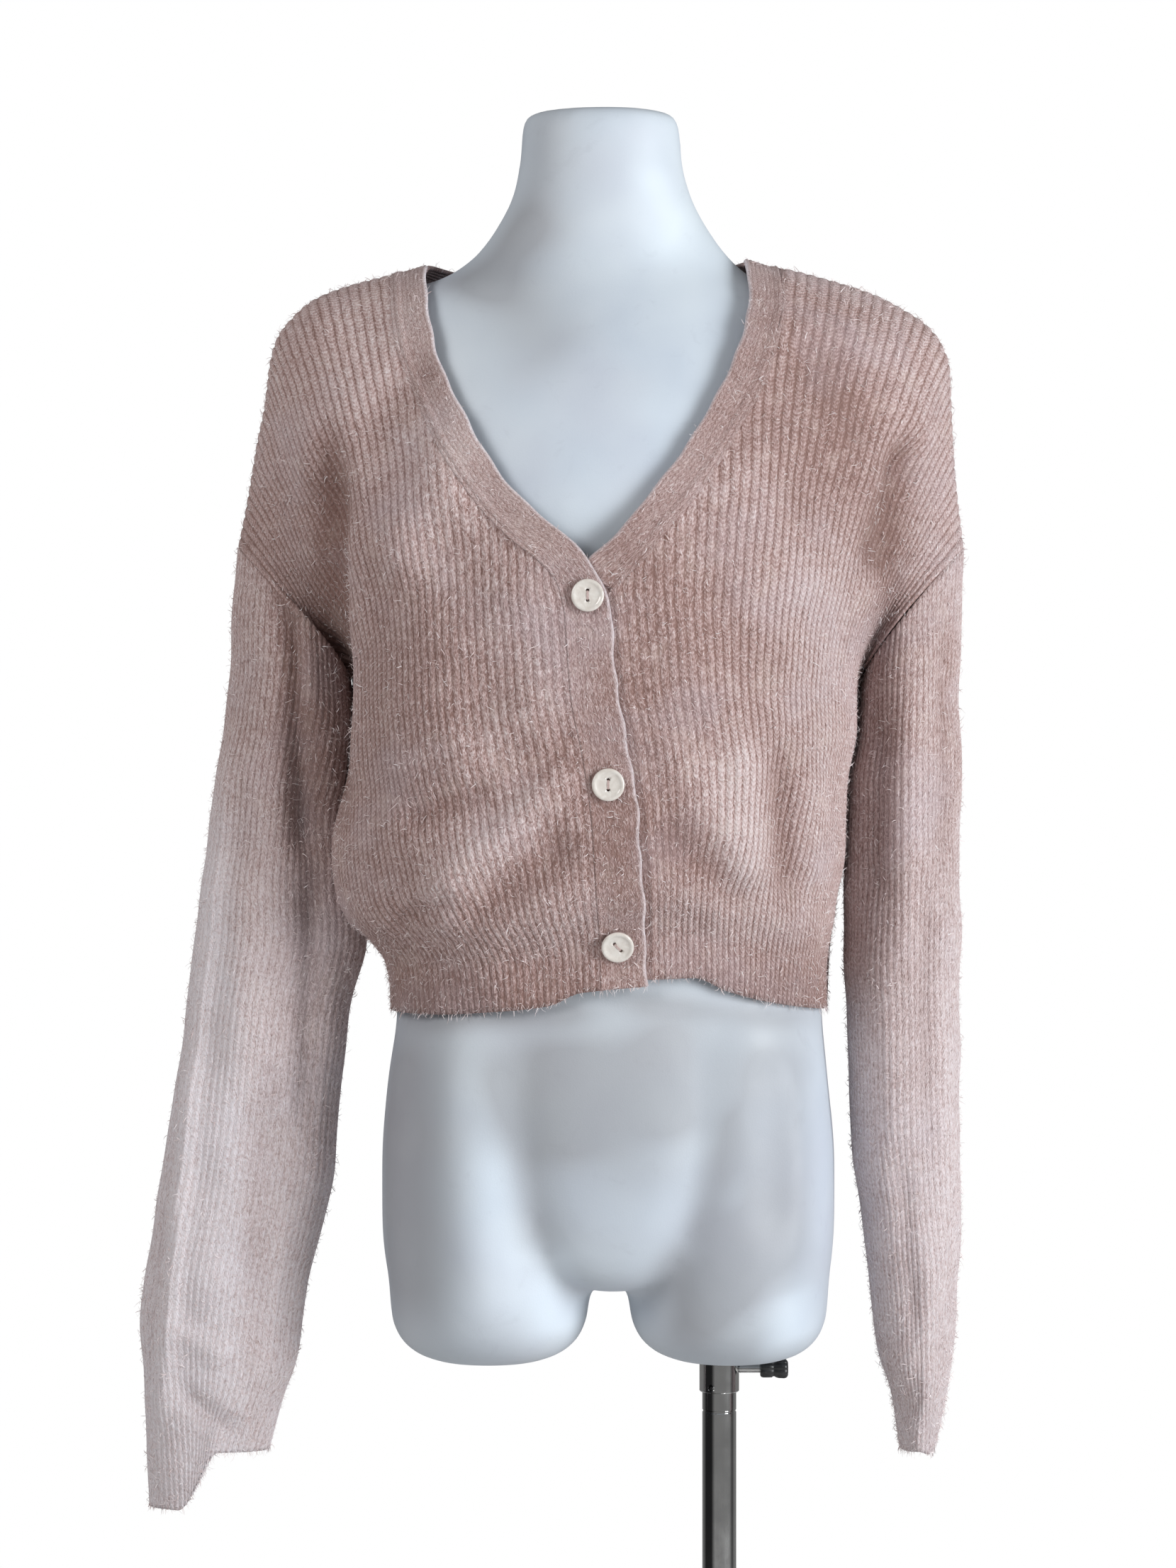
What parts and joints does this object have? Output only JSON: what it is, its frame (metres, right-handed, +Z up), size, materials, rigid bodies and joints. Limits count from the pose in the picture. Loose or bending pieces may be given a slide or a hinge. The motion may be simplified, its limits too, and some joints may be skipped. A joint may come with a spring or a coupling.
{
  "type": "cropped cardigan on a limbless dress form with stand",
  "caption": "Cropped V-neck rib-knit cardigan, buttoned in front, with long loose sleeves, worn by a limbless dress form on a height-adjustable pole stand.",
  "frame": {"origin": "centre of the base plate's underside, on the floor", "axes": "+Z up, the front faces -Y, +X is the wearer's left"},
  "size_m": [0.581, 0.38, 1.403],
  "materials": {
    "yarn": "brushed, fuzzy rib knit in dusty pink heather",
    "button_shell": "pearly cream gloss",
    "form_skin": "satin white",
    "chrome": "polished chrome",
    "knob_plastic": "black moulded plastic"
  },
  "bodies": {
    "stand": {"base_plate": "chrome", "pole": "chrome"},
    "clamp_collar": {"collar": "chrome"},
    "clamp_knob": {"clamp_screw": "knob_plastic"},
    "dressed_form": {"dress_form": "form_skin", "front_right": "yarn", "front_left": "yarn", "back": "yarn", "sleeve_right": "yarn", "sleeve_left": "yarn", "band_right": "yarn", "band_left": "yarn", "band_neck": "yarn", "button_1": "button_shell", "button_2": "button_shell", "button_3": "button_shell"}
  },
  "joints": [
    {"name": "height_slide", "type": "slide", "parent": "stand", "child": "clamp_collar", "axis": [0, 0, 1], "range_m": [-0.12, 0.15]},
    {"name": "form_swivel", "type": "hinge", "parent": "clamp_collar", "child": "dressed_form", "pos_m": [0.08, 0.005, 0.52], "axis": [0, 0, 1], "continuous": true},
    {"name": "clamp_screw_turn", "type": "hinge", "parent": "clamp_collar", "child": "clamp_knob", "pos_m": [0.1, 0.005, 0.5125], "axis": [1, 0, 0], "continuous": true}
  ]
}
